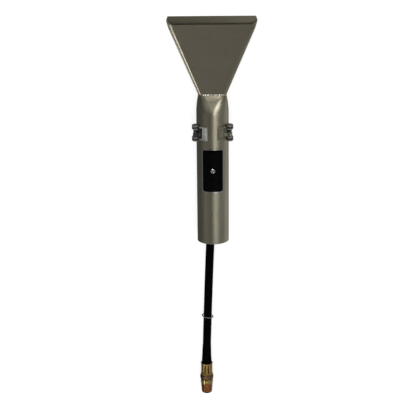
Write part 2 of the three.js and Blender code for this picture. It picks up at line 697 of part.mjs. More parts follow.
// The hose's centre line from the fitting in the tube to the ferrule: station, x, height.
const HOSE_ROUTE = [
  [HOSE_FRONT, 0, 15.05],
  [41, 0, 15.05],
  [33, -0.4, 13.9],
  [24, -1.1, 11.5],
  [12, -2.1, 8.9],
  [0, -3, 7.45],
  [-14, -3.8, 6.5],
  [-32, -4.6, 5.6],
  [-56, -5.6, 5.35],
  [-82, -6.6, 5.8],
  [-107, -7.5, 6.6],
  [-128, -8.2, 6.5],
  [-150, -8.9, 7.1],
  [-164, -9.15, 7.8],
  [-171.6, -9.2, 7.95],
];

function hose() {
  const points = HOSE_ROUTE.map(([station, x, height]) => new THREE.Vector3(x, station, height));
  const route = new THREE.CatmullRomCurve3(points, false, "centripetal");
  return pipe(route, HOSE_R, HOSE_SIDES, HOSE_STEPS);
}

function hoseRing() {
  const torus = new THREE.TorusGeometry(RING.radius, RING.wire, 8, 32);
  torus.rotateX(Math.PI / 2).rotateZ(THREE.MathUtils.degToRad(-RING.tilt));
  return solid(torus.translate(RING.x, RING.station, RING.radius + RING.wire + 0.05));
}

const fittingAt = [FERRULE.x, 0, FERRULE.height];

function hoseFerrule() {
  const { station, length, radius } = FERRULE;
  const profile = [
    [0, station], [radius - 0.6, station], [radius, station - 1], [radius, station - length + 1.5],
    [radius - 0.9, station - length], [0, station - length],
  ];
  return turned(profile, "y", fittingAt, 32);
}

function hoseEndFitting() {
  const hexFrom = FERRULE.station - FERRULE.length - GAP;
  const hexTo = hexFrom - END_HEX.length;
  const collarTo = hexTo - COLLAR.length;
  const noseTo = collarTo - NOSE.length;
  const nose = [
    [0, hexTo + 1], [COLLAR.radius, hexTo + 1], [COLLAR.radius, collarTo], [NOSE.radius, collarTo - 0.4],
    [NOSE.radius - NOSE.taper, noseTo + NOSE.tipLength], [NOSE.tip, noseTo], [0, noseTo],
  ];
  const bore = rod(NOSE.bore, noseTo - BEYOND, hexTo + 3, "y", fittingAt, 20);
  const hexagon = hexBar(END_HEX.across, hexTo, hexFrom, fittingAt);
  return cut(join(hexagon, turned(nose, "y", fittingAt, 32)), bore);
}

// --- assembly -----------------------------------------------------------------------------------

const shellGroup = section("tube_and_head");
addPiece(shellGroup, "body_tube", bodyTube(), "steel");
addPiece(shellGroup, "head_front_shell", headFrontShell(), "steel");
addPiece(shellGroup, "head_rear_plate", headRearPlate(), "steel");
addPiece(shellGroup, "neck_weld", neckWeld(), "steel");

const control = section("thumb_control");
addPiece(control, "control_bezel", controlBezel(), "polished");
addPiece(control, "thumb_pad", thumbPad(), "plastic");
addPiece(control, "pad_screw", padScrew(), "polished");
addPiece(control, "rocker_lever", rockerLever(), "polished");
addPiece(control, "rocker_pin", rockerPin(), "polished");

const valve = section("spray_valve");
addPiece(valve, "valve_body", valveBody(), "brass");
addPiece(valve, "valve_plunger", valvePlunger(), "polished");
addPiece(valve, "plunger_seal", plungerSeal(), "rubber");
addPiece(valve, "valve_spring", valveSpring(), "polished");
for (const [end, offset] of Object.entries(VALVE_SCREWS)) {
  addPiece(valve, `valve_screw_${end}`, valveScrew(offset), "polished");
}

const pipework = section("pipework");
addPiece(pipework, "inlet_nipple", inletNipple(), "brass");
addPiece(pipework, "inlet_nut", inletNut(), "brass");
addPiece(pipework, "inlet_ferrule", inletFerrule(), "brass");
addPiece(pipework, "outlet_nut", outletNut(), "brass");
addPiece(pipework, "feed_tube", feedTube(), "polished");
addPiece(pipework, "spray_manifold", sprayManifold(), "brass");
addPiece(pipework, "manifold_saddle", manifoldSaddle(), "steel");

const latches = section("latches");
for (const [name, side] of [["left", -1], ["right", 1]]) {
  addPiece(pipework, `spray_jet_${name}`, sprayJet(side * JET.x), "brass");
  addPiece(latches, `latch_lug_${name}`, latchLug(side), "cast");
  addPiece(latches, `latch_pin_${name}`, latchPin(side), "polished");
  addPiece(latches, `latch_arm_${name}`, latchArm(side), "cast");
  addPiece(latches, `latch_spring_${name}`, latchSpring(side), "polished");
}

const hoseGroup = section("solution_hose");
addPiece(hoseGroup, "hose", hose(), "rubber");
addPiece(hoseGroup, "hose_ring", hoseRing(), "polished");
addPiece(hoseGroup, "hose_ferrule", hoseFerrule(), "brass");
addPiece(hoseGroup, "hose_end_fitting", hoseEndFitting(), "brass");

export default tool;
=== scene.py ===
"""A hand-held spray extraction tool for upholstery, lying on its back on a pale table.

+Y runs along the tube to the mouth, +Z is the thumb side, and the table is at Z = 0. Blender's unit is
the metre; shapes below are worked out in millimetres, with stations measured along the tool from the
tube's open end, and become metres in place().
"""

import json
import math

import bmesh
import bpy
from mathutils import Matrix, Vector

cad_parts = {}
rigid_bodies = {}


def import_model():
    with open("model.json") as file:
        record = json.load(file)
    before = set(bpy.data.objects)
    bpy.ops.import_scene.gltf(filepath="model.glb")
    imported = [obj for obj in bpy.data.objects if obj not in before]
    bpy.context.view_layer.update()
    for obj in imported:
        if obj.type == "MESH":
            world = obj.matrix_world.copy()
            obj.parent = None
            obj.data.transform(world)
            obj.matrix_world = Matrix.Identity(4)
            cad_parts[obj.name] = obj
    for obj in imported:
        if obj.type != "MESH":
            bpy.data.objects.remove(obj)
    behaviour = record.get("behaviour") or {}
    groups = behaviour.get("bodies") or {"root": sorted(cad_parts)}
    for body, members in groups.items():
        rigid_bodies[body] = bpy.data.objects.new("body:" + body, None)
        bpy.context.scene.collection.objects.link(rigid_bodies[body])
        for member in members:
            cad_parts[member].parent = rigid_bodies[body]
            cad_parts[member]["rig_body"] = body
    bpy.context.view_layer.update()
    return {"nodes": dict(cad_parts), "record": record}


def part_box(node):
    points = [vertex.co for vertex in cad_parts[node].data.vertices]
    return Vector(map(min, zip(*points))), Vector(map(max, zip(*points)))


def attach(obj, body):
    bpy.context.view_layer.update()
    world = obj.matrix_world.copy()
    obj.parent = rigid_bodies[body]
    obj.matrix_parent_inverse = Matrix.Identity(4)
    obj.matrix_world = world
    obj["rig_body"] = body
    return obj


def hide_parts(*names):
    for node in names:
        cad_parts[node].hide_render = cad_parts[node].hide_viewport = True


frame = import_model()

MM = 0.001
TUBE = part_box("body_tube")
TUBE_R = (TUBE[1].x - TUBE[0].x) / 2 / MM
TUBE_END = TUBE[0].y
SLOTS = {part["node"]: part["material_slot"] for part in frame["record"]["subparts"]}


def place(x, along, z):
    """A point in metres from its place in millimetres, along the tool from the tube's open end."""
    return Vector((x * MM, TUBE_END + along * MM, z * MM))


def middle(node):
    """The middle of a CAD node's box, in millimetres: x, station, height."""
    low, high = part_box(node)
    centre = (low + high) / 2
    return centre.x / MM, (centre.y - TUBE_END) / MM, centre.z / MM


def span(node):
    """The stations between which a CAD node lies."""
    low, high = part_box(node)
    return (low.y - TUBE_END) / MM, (high.y - TUBE_END) / MM


def smoothstep(value):
    value = min(1.0, max(0.0, value))
    return value * value * (3 - 2 * value)


# --- camera, table and lights ---------------------------------------------------------------------

CAMERA_DISTANCE = 1.12
CAMERA_TILT = math.radians(17.5)  # off the normal of the table, towards the head
CAMERA_ROLL = math.radians(0.42)
CAMERA_LENS = 80.1
CAMERA_AIM = (-6.05, 40)  # x and station of the picture's middle, level with the tube's axis


def add_camera():
    aim = place(*CAMERA_AIM, TUBE_R)
    back = Vector((0, math.sin(CAMERA_TILT), math.cos(CAMERA_TILT)))
    up = Vector((math.sin(CAMERA_ROLL), math.cos(CAMERA_ROLL), 0))
    right = up.cross(back).normalized()
    turn = Matrix((right, back.cross(right), back)).transposed().to_4x4()
    data = bpy.data.cameras.new("camera")
    data.lens = CAMERA_LENS
    camera = bpy.data.objects.new("camera", data)
    camera.matrix_world = Matrix.Translation(aim + back * CAMERA_DISTANCE) @ turn
    bpy.context.scene.collection.objects.link(camera)
    bpy.context.scene.camera = camera


def add_panel(name, direction, distance, size, radiance, in_gloss=True):
    """A soft panel that faces the tool from a direction, as bright as its radiance says."""
    spot = Vector(direction).normalized() * distance
    data = bpy.data.lights.new(name, "AREA")
    data.shape = "RECTANGLE"
    data.size, data.size_y = size
    data.energy = radiance * size[0] * size[1] * math.pi
    light = bpy.data.objects.new(name, data)
    light.location = spot
    facing = -spot.normalized()
    side = Vector((0, 1, 0)).cross(-facing).normalized()
    turn = Matrix((side, (-facing).cross(side), -facing)).transposed()
    light.rotation_euler = turn.to_euler()
    light.visible_glossy = in_gloss
    bpy.context.scene.collection.objects.link(light)
    return light


HEAD = ["head_front_shell_fine"]
BARREL = ["body_tube_fine", "weld_bead", "control_bezel_fine"]
FITTING = ["crimped_ferrule", "fitting_hexagon", "fitting_collar", "fitting_nose", "ferrule_ridges"]

# name, direction it shines from, distance, width and length, radiance, the pieces it is aimed at
# (None for all); metres
PANELS = [
    ("key_strip", (0.285, 0.22, 0.93), 1.4, (0.18, 0.95), 4.7, BARREL),
    ("key_core", (0.285, -0.165, 0.94), 1.4, (0.30, 0.26), 0.55, None),
    ("key_tail", (0.275, -0.42, 0.88), 1.4, (0.34, 0.42), 0.26, None),
    ("key_wide", (0.34, -0.20, 0.91), 1.4, (0.90, 1.1), 0.31, None),
    ("fold_light", (-0.62, 0.02, 0.76), 1.4, (0.52, 0.5), 3.9, HEAD),
    ("fold_side", (-0.90, -0.33, -0.20), 1.4, (0.95, 0.5), 0.85, HEAD),
    ("shoulder_far", (0.12, 0.97, 0.14), 1.5, (0.8, 0.3), 2.3, BARREL),
    ("shoulder_right", (0.46, 0.52, 0.70), 1.4, (0.54, 0.80), 2.5, BARREL),
    ("latch_light", (-0.60, -0.12, 0.79), 1.4, (0.34, 0.34), 3.8, ["latch_pad_left"]),
    ("knuckle_light", (0.72, -0.12, 0.68), 1.4, (0.60, 0.60), 3.0, ["latch_knuckle_right"]),
    ("screw_light", (-0.06, 0.38, 0.92), 1.4, (0.80, 0.30), 13.0, ["domed_pad_screw"]),
    ("fitting_light", (-0.62, -0.55, 0.56), 1.5, (0.08, 0.5), 11.0, FITTING),
    ("fitting_top", (-0.06, -0.50, 0.86), 1.5, (0.05, 0.5), 11.0, FITTING),
    ("fitting_right", (0.62, -0.55, 0.56), 1.5, (0.10, 0.5), 2.0, FITTING),
]

# The soft glow of the room: direction, cosine where it starts, cosine where it is full, radiance
GLOWS = [
    ((0.95, -0.25, 0.20), 0.45, 0.97, 0.11),
    ((0.80, -0.30, -0.52), 0.82, 0.97, 0.26),
    ((-0.70, -0.45, 0.55), 0.84, 0.98, 0.10),
    ((0.0, 0.76, 0.65), 0.88, 0.98, 0.20),
    ((-0.50, 0.50, 0.70), 0.86, 0.97, 0.20),
]
GLOOM = 0.10
ROOM_COLOUR = (1, 0.99, 0.97, 1)
BACKDROP_COLOUR = (0.94, 0.94, 0.94, 1)
TABLE_SIZE = 60
TABLE_DROP = 0.0004  # how far the table lies under the tool


def add_glows(tree):
    """The room's brightness in every direction, as one colour node."""
    direction = tree.nodes.new("ShaderNodeTexCoord").outputs["Generated"]
    total = None
    for towards, start, full, radiance in GLOWS:
        dot = tree.nodes.new("ShaderNodeVectorMath")
        dot.operation = "DOT_PRODUCT"
        dot.inputs[1].default_value = Vector(towards).normalized()
        tree.links.new(direction, dot.inputs[0])
        ease = tree.nodes.new("ShaderNodeMapRange")
        ease.interpolation_type = "SMOOTHSTEP"
        for socket, value in (("From Min", start), ("From Max", full), ("To Min", 0.0), ("To Max", radiance)):
            ease.inputs[socket].default_value = value
        tree.links.new(dot.outputs["Value"], ease.inputs["Value"])
        add = tree.nodes.new("ShaderNodeMath")
        add.operation = "ADD"
        add.inputs[1].default_value = GLOOM
        if total is not None:
            tree.links.new(total, add.inputs[1])
        tree.links.new(ease.outputs["Result"], add.inputs[0])
        total = add.outputs["Value"]
    return total


def add_studio():
    """The room, its light panels and the table.

    It comes after the pieces, because some panels name the pieces they light.
    """
    world = bpy.data.worlds.new("studio")
    world.use_nodes = True
    tree = world.node_tree
    surroundings = tree.nodes["Background"]
    surroundings.inputs["Color"].default_value = ROOM_COLOUR
    tree.links.new(add_glows(tree), surroundings.inputs["Strength"])
    backdrop = tree.nodes.new("ShaderNodeBackground")
    backdrop.inputs["Color"].default_value = BACKDROP_COLOUR
    mix = tree.nodes.new("ShaderNodeMixShader")
    tree.links.new(tree.nodes.new("ShaderNodeLightPath").outputs["Is Camera Ray"], mix.inputs["Fac"])
    tree.links.new(surroundings.outputs["Background"], mix.inputs[1])
    tree.links.new(backdrop.outputs["Background"], mix.inputs[2])
    tree.links.new(mix.outputs["Shader"], tree.nodes["World Output"].inputs["Surface"])
    bpy.context.scene.world = world
    bpy.context.scene.view_settings.view_transform = "Standard"
    for name, direction, distance, size, radiance, pieces in PANELS:
        light = add_panel(name, direction, distance, size, radiance)
        if pieces:
            lit = bpy.data.collections.new(name + "_lit")
            for piece in pieces:
                lit.objects.link(bpy.data.objects[piece])
            light.light_linking.receiver_collection = lit
    add_panel("table_light", (0, 0.1, 1), 2.6, (5.0, 5.0), 1.28, in_gloss=False)
    bpy.ops.mesh.primitive_plane_add(size=TABLE_SIZE, location=(0, 0, -TABLE_DROP))
    table = bpy.context.object
    table.name = "table"
    table.visible_glossy = False
    table.visible_shadow = False
    table.data.materials.append(table_material())


# --- material nodes -------------------------------------------------------------------------------


class Nodes:
    """A material's node tree, built one node a line."""

    def __init__(self, name):
        self.material = bpy.data.materials.new(name)
        self.material.use_nodes = True
        self.tree = self.material.node_tree
        self.shader = self.tree.nodes["Principled BSDF"]

    def add(self, kind, **settings):
        node = self.tree.nodes.new(kind)
        for key, value in settings.items():
            if key in node.inputs:
                node.inputs[key].default_value = value
            else:
                setattr(node, key, value)
        return node

    def link(self, source, target):
        self.tree.links.new(source, target)

    def set(self, **values):
        for key, value in values.items():
            self.shader.inputs[key.replace("_", " ")].default_value = value

    def position(self, scale=(1, 1, 1)):
        """Object coordinates, stretched."""
        here = self.add("ShaderNodeTexCoord").outputs["Object"]
        mapping = self.add("ShaderNodeMapping", Scale=scale)
        self.link(here, mapping.inputs["Vector"])
        return mapping.outputs["Vector"]

    def noise(self, scale, stretch=(1, 1, 1), detail=3.0, roughness=0.5):
        node = self.add("ShaderNodeTexNoise", Scale=scale, Detail=detail, Roughness=roughness)
        self.link(self.position(stretch), node.inputs["Vector"])
        return node.outputs["Fac"]

    def ramp(self, source, stops):
        node = self.add("ShaderNodeValToRGB")
        elements = node.color_ramp.elements
        while len(elements) < len(stops):
            elements.new(0.5)
        for element, (spot, colour) in zip(elements, stops):
            element.position = spot
            element.color = colour
        self.link(source, node.inputs["Fac"])
        return node.outputs["Color"]

    def range(self, source, low, high, start=0.0, end=1.0):
        node = self.add("ShaderNodeMapRange")
        node.inputs["From Min"].default_value = start
        node.inputs["From Max"].default_value = end
        node.inputs["To Min"].default_value = low
        node.inputs["To Max"].default_value = high
        self.link(source, node.inputs["Value"])
        return node.outputs["Result"]

    def maths(self, operation, first, second):
        node = self.add("ShaderNodeMath", operation=operation)
        for value, socket in ((first, node.inputs[0]), (second, node.inputs[1])):
            if isinstance(value, bpy.types.NodeSocket):
                self.link(value, socket)
            else:
                socket.default_value = value
        return node.outputs["Value"]

    def mix(self, fac, first, second, blend="MIX"):
        node = self.add("ShaderNodeMix", data_type="RGBA", blend_type=blend)
        for value, socket in ((fac, node.inputs[0]), (first, node.inputs[6]), (second, node.inputs[7])):
            if isinstance(value, bpy.types.NodeSocket):
                self.link(value, socket)
            else:
                socket.default_value = value
        return node.outputs[2]

    def bump(self, height, distance, strength=1.0, under=None):
        node = self.add("ShaderNodeBump", Strength=strength, Distance=distance)
        self.link(height, node.inputs["Height"])
        if under is not None:
            self.link(under, node.inputs["Normal"])
        return node.outputs["Normal"]

    def pointiness(self):
        """Over a half along convex edges, and under it in hollows."""
        return self.add("ShaderNodeNewGeometry").outputs["Pointiness"]

    def edges(self, low=0.52, high=0.60):
        """1 along convex edges and 0 elsewhere."""
        return self.range(self.pointiness(), 0.0, 1.0, low, high)

    def hollows(self, most, low):
        """most in concave corners and 0 elsewhere."""
        return self.range(self.pointiness(), most, 0.0, low, 0.48)

    def scratches(self, scale, stretch, width):
        """1 on fine wandering lines and 0 elsewhere."""
        field = self.noise(scale, stretch, detail=2.0, roughness=0.4)
        away = self.maths("ABSOLUTE", self.maths("SUBTRACT", field, 0.5), 0.0)
        return self.range(away, 1.0, 0.0, 0.0, width)

    def finish(self, colour=None, roughness=None, normal=None):
        for value, key in ((colour, "Base Color"), (roughness, "Roughness"), (normal, "Normal")):
            if value is not None:
                self.link(value, self.shader.inputs[key])
        return self.material


def rgba(red, green, blue):
    return (red, green, blue, 1.0)


def shade(colour, factor):
    return (*(min(1.0, channel * factor) for channel in colour[:3]), 1.0)


def grey(value):
    return rgba(value, value, value)


def table_material():
    nodes = Nodes("table_top")
    nodes.set(Roughness=0.9, Emission_Color=grey(1.0), Emission_Strength=0.74)
    colour = nodes.ramp(nodes.noise(6), [(0.3, grey(0.41)), (0.7, grey(0.43))])
    return nodes.finish(colour=colour)


def satin_steel(name, colour, roughness, grain, mottle=0.10, tint=None, rubbed=0.35, dented=0.25):
    """Satin stainless steel: fine brushing along one direction, cloudy patches, rubs, and worn edges
    lightened also as a painted highlight.

    Where tint is given, it is the station of a weld, beside which the steel is heat-coloured.
    """
    nodes = Nodes(name)
    nodes.set(Metallic=1.0)
    clouds = nodes.noise(26.0, (1, 0.6, 1), detail=4.0, roughness=0.55)
    tone = nodes.ramp(clouds, [(0.30, shade(colour, 1 - mottle)), (0.70, shade(colour, 1 + mottle))])
    warm = nodes.noise(41.0, detail=2.0)
    hue = nodes.ramp(warm, [(0.35, rgba(1.0, 0.965, 0.93)), (0.65, rgba(0.955, 1.0, 0.95))])
    tone = nodes.mix(1.0, tone, hue, "MULTIPLY")
    brushing = nodes.noise(1.0, grain, detail=5.0, roughness=0.65)
    lines = nodes.ramp(brushing, [(0.30, grey(0.88)), (0.70, grey(1.0))])
    tone = nodes.mix(1.0, tone, lines, "MULTIPLY")
    if tint is not None:
        here = nodes.add("ShaderNodeSeparateXYZ")
        nodes.link(nodes.position(), here.inputs[0])
        away = nodes.maths("ABSOLUTE", nodes.maths("SUBTRACT", here.outputs["Y"], place(0, tint, 0).y), 0.0)
        wobble = nodes.maths("MULTIPLY", nodes.noise(220.0, detail=2.0), 0.003)
        heat = nodes.range(nodes.maths("ADD", away, wobble), 0.55, 0.0, 0.002, 0.010)
        tone = nodes.mix(heat, tone, rgba(0.36, 0.27, 0.16))
    rubs = nodes.scratches(14.0, (6, 1.2, 6), 0.006)
    tone = nodes.mix(nodes.maths("MULTIPLY", rubs, rubbed), tone, shade(colour, 1.45))
    # convex edges lightened, partly as wear and partly as a painted highlight
    tone = nodes.mix(nodes.maths("MULTIPLY", nodes.edges(), 0.6), tone, shade(colour, 1.5))
    rough = nodes.range(brushing, roughness - 0.05, roughness + 0.08, 0.3, 0.7)
    rough = nodes.maths("SUBTRACT", rough, nodes.maths("MULTIPLY", rubs, 0.22 * rubbed))
    fine = nodes.bump(brushing, 0.00002, 2 * dented)
    dents = nodes.bump(nodes.noise(60.0, detail=2.0), 0.00010, dented, under=fine)
    return nodes.finish(tone, rough, dents)


def bright_metal(name, colour, roughness, grain=700.0, dirt=0.25, hollow=None, patch=150.0):
    """A turned or cast metal: fine grain, painted shade in the hollows, and edges lightened partly as wear
    and partly as a painted highlight.
    """
    nodes = Nodes(name)
    nodes.set(Metallic=1.0)
    fine = nodes.noise(grain, detail=3.0)
    patches = nodes.noise(patch, detail=4.0)
    tone = nodes.ramp(patches, [(0.30, shade(colour, 1 - dirt)), (0.68, colour)])
    # painted shade: the hollows darkened towards a shaded copy of the colour
    hollows = nodes.hollows(0.6, 0.40)
    tone = nodes.mix(hollows, tone, hollow or shade(colour, 0.30))
    # edges lightened, partly as wear and partly as a painted highlight
    tone = nodes.mix(nodes.maths("MULTIPLY", nodes.edges(), 0.7), tone, shade(colour, 1.3))
    rough = nodes.range(patches, roughness + 0.10, roughness - 0.04, 0.3, 0.7)
    return nodes.finish(tone, rough, nodes.bump(fine, 0.00003, 0.35))


def cast_metal(name, colour, roughness):
    """Tumbled cast steel: partly dull, with a pebbled skin, painted shade in its hollows and rubbed edges
    lightened also as a painted highlight.
    """
    nodes = Nodes(name)
    nodes.set(Metallic=0.72)
    pebbles = nodes.noise(900.0, detail=3.0)
    patches = nodes.noise(240.0, detail=3.0)
    tone = nodes.ramp(patches, [(0.30, shade(colour, 0.62)), (0.70, colour)])
    # painted shade: the hollows darkened almost to black
    hollows = nodes.hollows(0.75, 0.38)
    tone = nodes.mix(hollows, tone, shade(colour, 0.12))
    # edges lightened, partly as rubbing and partly as a painted highlight
    tone = nodes.mix(nodes.maths("MULTIPLY", nodes.edges(), 0.8), tone, shade(colour, 1.5))
    rough = nodes.range(patches, roughness + 0.12, roughness - 0.06, 0.3, 0.7)
    return nodes.finish(tone, rough, nodes.bump(pebbles, 0.00006, 0.4))


def black_polymer(name, colour, roughness, specular, grain=2600.0, grain_depth=0.00006, stretch=(1, 1, 1)):
    """Moulded black plastic or rubber: fine texture, faint dust, and greyer edges that are partly wear and
    partly a painted highlight.
    """
    nodes = Nodes(name)
    nodes.set(Specular_IOR_Level=specular)
    texture = nodes.noise(grain, stretch, detail=2.0)
    dust = nodes.noise(210.0, detail=5.0, roughness=0.6)
    tone = nodes.ramp(dust, [(0.45, colour), (0.80, shade(colour, 2.6))])
    # edges greyed, partly as wear and partly as a painted highlight
    tone = nodes.mix(nodes.maths("MULTIPLY", nodes.edges(0.53, 0.64), 0.5), tone, shade(colour, 6.0))
    rough = nodes.range(dust, roughness - 0.05, roughness + 0.12, 0.3, 0.7)
    return nodes.finish(tone, rough, nodes.bump(texture, grain_depth, 0.4))


SEAM = middle("neck_weld")[1]
STEEL = rgba(0.50, 0.475, 0.375)
SHEET = rgba(0.37, 0.335, 0.26)
BRASS = rgba(0.62, 0.46, 0.16)
COPPERED = rgba(0.56, 0.22, 0.085)
# the painted shade in the hollows of the coppered nose's thread
COPPERED_HOLLOW_SHADE = rgba(0.10, 0.02, 0.01)
ALONG_TUBE = (1500, 30, 1500)
ACROSS_HEAD = (40, 1300, 1300)
ALONG_HOSE = (1800, 160, 1800)
MATERIALS = {
    "tube": satin_steel("tube_satin_steel", STEEL, 0.33, ALONG_TUBE, tint=SEAM),
    "sheet": satin_steel(
        "head_sheet_steel", SHEET, 0.32, ACROSS_HEAD, mottle=0.12, tint=SEAM, rubbed=0.08, dented=0.05
    ),
    "weld": bright_metal("weld_steel", rgba(0.86, 0.80, 0.68), 0.22, 1500.0, dirt=0.5),
    "bright": bright_metal("bright_steel", rgba(0.80, 0.79, 0.76), 0.18, dirt=0.12),
    # The latch steel in lit and painted-shade copies: a lit copy for the left pad, a shaded copy for the
    # right pad, a half-shaded copy for the right knuckle, a lit copy for the ear rims, and a copy painted as
    # in deep shade for the ear cores, feet, left knuckle and springs.
    "cast": cast_metal("latch_steel", rgba(0.55, 0.55, 0.51), 0.34),
    "pad_shade_cast": cast_metal("latch_steel_pad_shade", rgba(0.36, 0.35, 0.27), 0.34),
    "half_shade_cast": cast_metal("latch_steel_half_shade", rgba(0.24, 0.235, 0.18), 0.42),
    "lit_rim_cast": cast_metal("latch_steel_lit_rim", rgba(0.36, 0.36, 0.34), 0.36),
    "painted_shade_cast": cast_metal("latch_steel_painted_shade", rgba(0.085, 0.085, 0.08), 0.42),
    "brass": bright_metal("brass", BRASS, 0.30, dirt=0.15, patch=60.0),
    # a dark copy of the brass: painted shade in the ferrule's crimps
    "ferrule": bright_metal("ferrule_brass_painted_shade", rgba(0.22, 0.10, 0.035), 0.36, dirt=0.2, patch=60.0),
    "screw": bright_metal("screw_steel", rgba(0.50, 0.50, 0.49), 0.12, dirt=0.2),
    # a dark copy of the brass: painted shade on the hexagon's flats
    "hex_shade_brass": bright_metal("brass_hexagon_painted_shade", rgba(0.13, 0.075, 0.040), 0.22, dirt=0.2, patch=60.0),
    "nose_brass": bright_metal(
        "coppered_brass", COPPERED, 0.11, dirt=0.2, hollow=COPPERED_HOLLOW_SHADE, patch=60.0
    ),
    "plastic": black_polymer("black_plastic", rgba(0.0010, 0.0010, 0.0011), 0.30, 0.05),
    "rubber": black_polymer(
        "black_rubber", rgba(0.0010, 0.0010, 0.0010), 0.38, 0.02, 1.0, 0.00008, ALONG_HOSE
    ),
}

# --- mesh making ----------------------------------------------------------------------------------

WELD_DISTANCE = 2e-6  # metres between facets' corners that are joined in a CAD node's copy
SAME_POINT = 1e-7  # metres between points that are one in a made mesh

def new_piece(name, mesh, look, body, *stands_for, slot=None):
    """Adds a piece that rides on a body, in place of the CAD nodes it stands for."""
    piece = bpy.data.objects.new(name, mesh)
    bpy.context.scene.collection.objects.link(piece)
    piece.data.materials.clear()
    piece.data.materials.append(MATERIALS[look])
    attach(piece, body)
    if stands_for:
        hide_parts(*stands_for)
    return piece


def smooth(piece, crease=50.0):
    """Shades a piece smooth, but for edges sharper than crease degrees."""
    work = bmesh.new()
    work.from_mesh(piece.data)
    for face in work.faces:
        face.smooth = True
    for edge in work.edges:
        edge.smooth = len(edge.link_faces) != 2 or edge.calc_face_angle(0.0) < math.radians(crease)
    work.to_mesh(piece.data)
    work.free()
    return piece


def soften(piece, width):
    """Rounds a piece's sharp edges and shades the rest smooth."""
    bevel = piece.modifiers.new("round_edges", "BEVEL")
    bevel.width = width
    bevel.segments = 2
    bevel.limit_method = "ANGLE"
    bevel.angle_limit = math.radians(32.0)
    bevel.harden_normals = False
    bevel.use_clamp_overlap = True
    for polygon in piece.data.polygons:
        polygon.use_smooth = True
    normals = piece.modifiers.new("even_normals", "WEIGHTED_NORMAL")
    normals.keep_sharp = True
    return piece


def refined(node, look, bevel=0.15 * MM):
    """A CAD node's shape with its flat facets joined, its edges rounded and its curves smooth."""
    source = frame["nodes"][node]
    mesh = source.data.copy()
    mesh.name = node + "_fine"
    work = bmesh.new()
    work.from_mesh(mesh)
    bmesh.ops.remove_doubles(work, verts=work.verts, dist=WELD_DISTANCE)
    bmesh.ops.dissolve_limit(
        work, angle_limit=math.radians(1.0), verts=work.verts, edges=work.edges, delimit=set()
    )
    for edge in work.edges:
        edge.smooth = True
    work.to_mesh(mesh)
    work.free()
    piece = new_piece(node + "_fine", mesh, look, source["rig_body"], node)
    return soften(piece, bevel)


def mesh_of(name, shells):
    """A mesh of closed shells, each one a list of loops with the same number of points.

    A shell is (loops, ends): ends is "capped" where its first and last loops are filled, and "joined"
    where the last loop meets the first, as in a ring.
    """
    work = bmesh.new()
    for loops, ends in shells:
        rings = [[work.verts.new(point) for point in loop] for loop in loops]
        if ends == "joined":
            rings.append(rings[0])
        for low, high in zip(rings, rings[1:]):
            for i in range(len(low)):
                j = (i + 1) % len(low)
                work.faces.new((low[i], low[j], high[j], high[i]))
        if ends == "capped":
            work.faces.new(rings[0][::-1])
            work.faces.new(rings[-1])
    bmesh.ops.remove_doubles(work, verts=work.verts, dist=SAME_POINT)
    bmesh.ops.recalc_face_normals(work, faces=work.faces)
    mesh = bpy.data.meshes.new(name)
    work.to_mesh(mesh)
    work.free()
    return mesh


def lathe(profile, centre, axis, sides, ends="capped", swell=None):
    """A shell turned about an axis through centre: profile holds (radius, distance along) pairs.

    swell(angle, distance) adds to the radius at an angle measured from +Z towards +X.
    """
    loops = []
    for radius, along in profile:
        loop = []
        for i in range(sides):
            angle = 2 * math.pi * i / sides
            r = radius + (swell(angle, along) if swell else 0.0)
            side, up = r * math.sin(angle), r * math.cos(angle)
            x, y, z = centre
            loop.append(place(x + side, along, z + up) if axis == "y" else place(x + side, y + up, z + along))
        loops.append(loop)
    return loops, ends


def rounded(radius, start, end, fillet):
    """A rod's outer profile from one end to the other, its two rims rounded."""
    step = 1 if end > start else -1
    arc = [math.pi / 2 * i / 4 for i in range(5)]
    first = [(radius - fillet * (1 - math.sin(a)), start + step * fillet * (1 - math.cos(a))) for a in arc]
    last = [(radius - fillet * (1 - math.cos(a)), end - step * fillet * (1 - math.sin(a))) for a in arc]
    return first + last


# --- tube, head and weld --------------------------------------------------------------------------


def neck_loop(half_width, bottom, top, radius, count):
    """Points (x, z, outward x, outward z) evenly round the box section where tube and head meet."""
    straight_x, straight_z = 2 * (half_width - radius), top - bottom - 2 * radius
    corner = radius * math.pi / 2
    sides = [
        (straight_x, (radius - half_width, top), (1, 0), (0, 1)),
        (straight_z, (half_width, top - radius), (0, -1), (1, 0)),
        (straight_x, (half_width - radius, bottom), (-1, 0), (0, -1)),
        (straight_z, (-half_width, bottom + radius), (0, 1), (-1, 0)),
    ]
    total = 2 * (straight_x + straight_z) + 4 * corner
    points = []
    for i in range(count):
        left = total * i / count
        for length, start, along, out in sides:
            if left < length:
                points.append((start[0] + along[0] * left, start[1] + along[1] * left, *out))
                break
            left -= length
            if left < corner:
                turn = left / radius
                end = (start[0] + along[0] * length, start[1] + along[1] * length)
                centre = (end[0] - out[0] * radius, end[1] - out[1] * radius)
                facing = tuple(o * math.cos(turn) + a * math.sin(turn) for o, a in zip(out, along))
                points.append((centre[0] + facing[0] * radius, centre[1] + facing[1] * radius, *facing))
                break
            left -= corner
    return points


